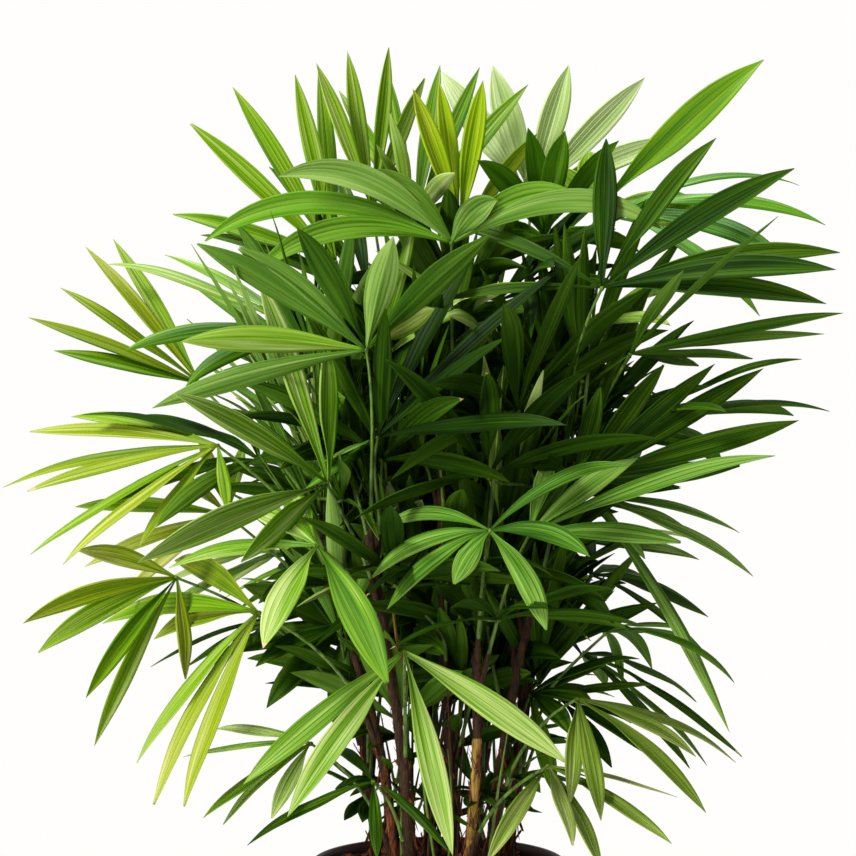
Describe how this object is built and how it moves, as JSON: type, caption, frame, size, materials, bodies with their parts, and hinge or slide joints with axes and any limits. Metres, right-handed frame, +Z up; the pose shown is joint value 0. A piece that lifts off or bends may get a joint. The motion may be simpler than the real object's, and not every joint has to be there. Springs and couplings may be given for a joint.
{
  "type": "potted lady palm",
  "caption": "Potted lady palm with slender fibrous canes and fan-shaped fronds of pleated leaflets in a round tapered pot.",
  "frame": {"origin": "centre of the pot's flat underside, where it stands on the floor", "axes": "+Z up the clump, +X to the right of the front view, -Y towards the front"},
  "size_m": [1.0491, 0.8532, 1.317],
  "materials": {
    "pot": "satin dark brown plastic",
    "soil": "rough red-brown bark mulch on moist potting mix",
    "cane": "matt brown fibre over a slender cane",
    "leaf_lime": "satin yellow-green leaf",
    "leaf_green": "glossy mid-green leaf",
    "leaf_deep": "glossy dark green leaf",
    "leaf_pale": "dull pale grey-green leaf",
    "leaf_straw": "soft straw-yellow young leaf"
  },
  "bodies": {
    "root": {"pot": "pot", "soil": "soil", "cane_1": "cane", "cane_2": "cane", "cane_3": "cane", "cane_4": "cane", "cane_5": "cane", "cane_6": "cane", "cane_7": "cane", "cane_8": "cane", "cane_9": "cane", "frond_01": "leaf_green", "frond_02": "leaf_deep", "frond_03": "leaf_deep", "frond_04": "leaf_deep", "frond_05": "leaf_lime", "frond_06": "leaf_pale", "frond_07": "leaf_lime", "frond_08": "leaf_green", "frond_09": "leaf_lime", "frond_10": "leaf_green", "frond_11": "leaf_straw", "frond_12": "leaf_lime", "frond_13": "leaf_lime", "frond_14": "leaf_green", "frond_15": "leaf_lime", "frond_16": "leaf_lime", "frond_17": "leaf_lime", "frond_18": "leaf_green", "frond_19": "leaf_green", "frond_20": "leaf_green", "frond_21": "leaf_deep", "frond_22": "leaf_green", "frond_23": "leaf_deep", "frond_24": "leaf_green", "frond_25": "leaf_green", "frond_26": "leaf_green", "frond_27": "leaf_green", "frond_28": "leaf_deep", "frond_29": "leaf_deep", "frond_30": "leaf_deep", "frond_31": "leaf_green", "frond_32": "leaf_deep", "frond_33": "leaf_deep", "frond_34": "leaf_pale", "frond_35": "leaf_pale", "frond_36": "leaf_green", "frond_37": "leaf_green", "frond_38": "leaf_green", "frond_39": "leaf_green", "frond_40": "leaf_deep", "frond_41": "leaf_deep", "frond_42": "leaf_deep", "frond_43": "leaf_deep", "frond_44": "leaf_green", "frond_45": "leaf_green", "frond_46": "leaf_green", "frond_47": "leaf_deep", "frond_48": "leaf_deep", "frond_49": "leaf_deep"}
  },
  "joints": []
}
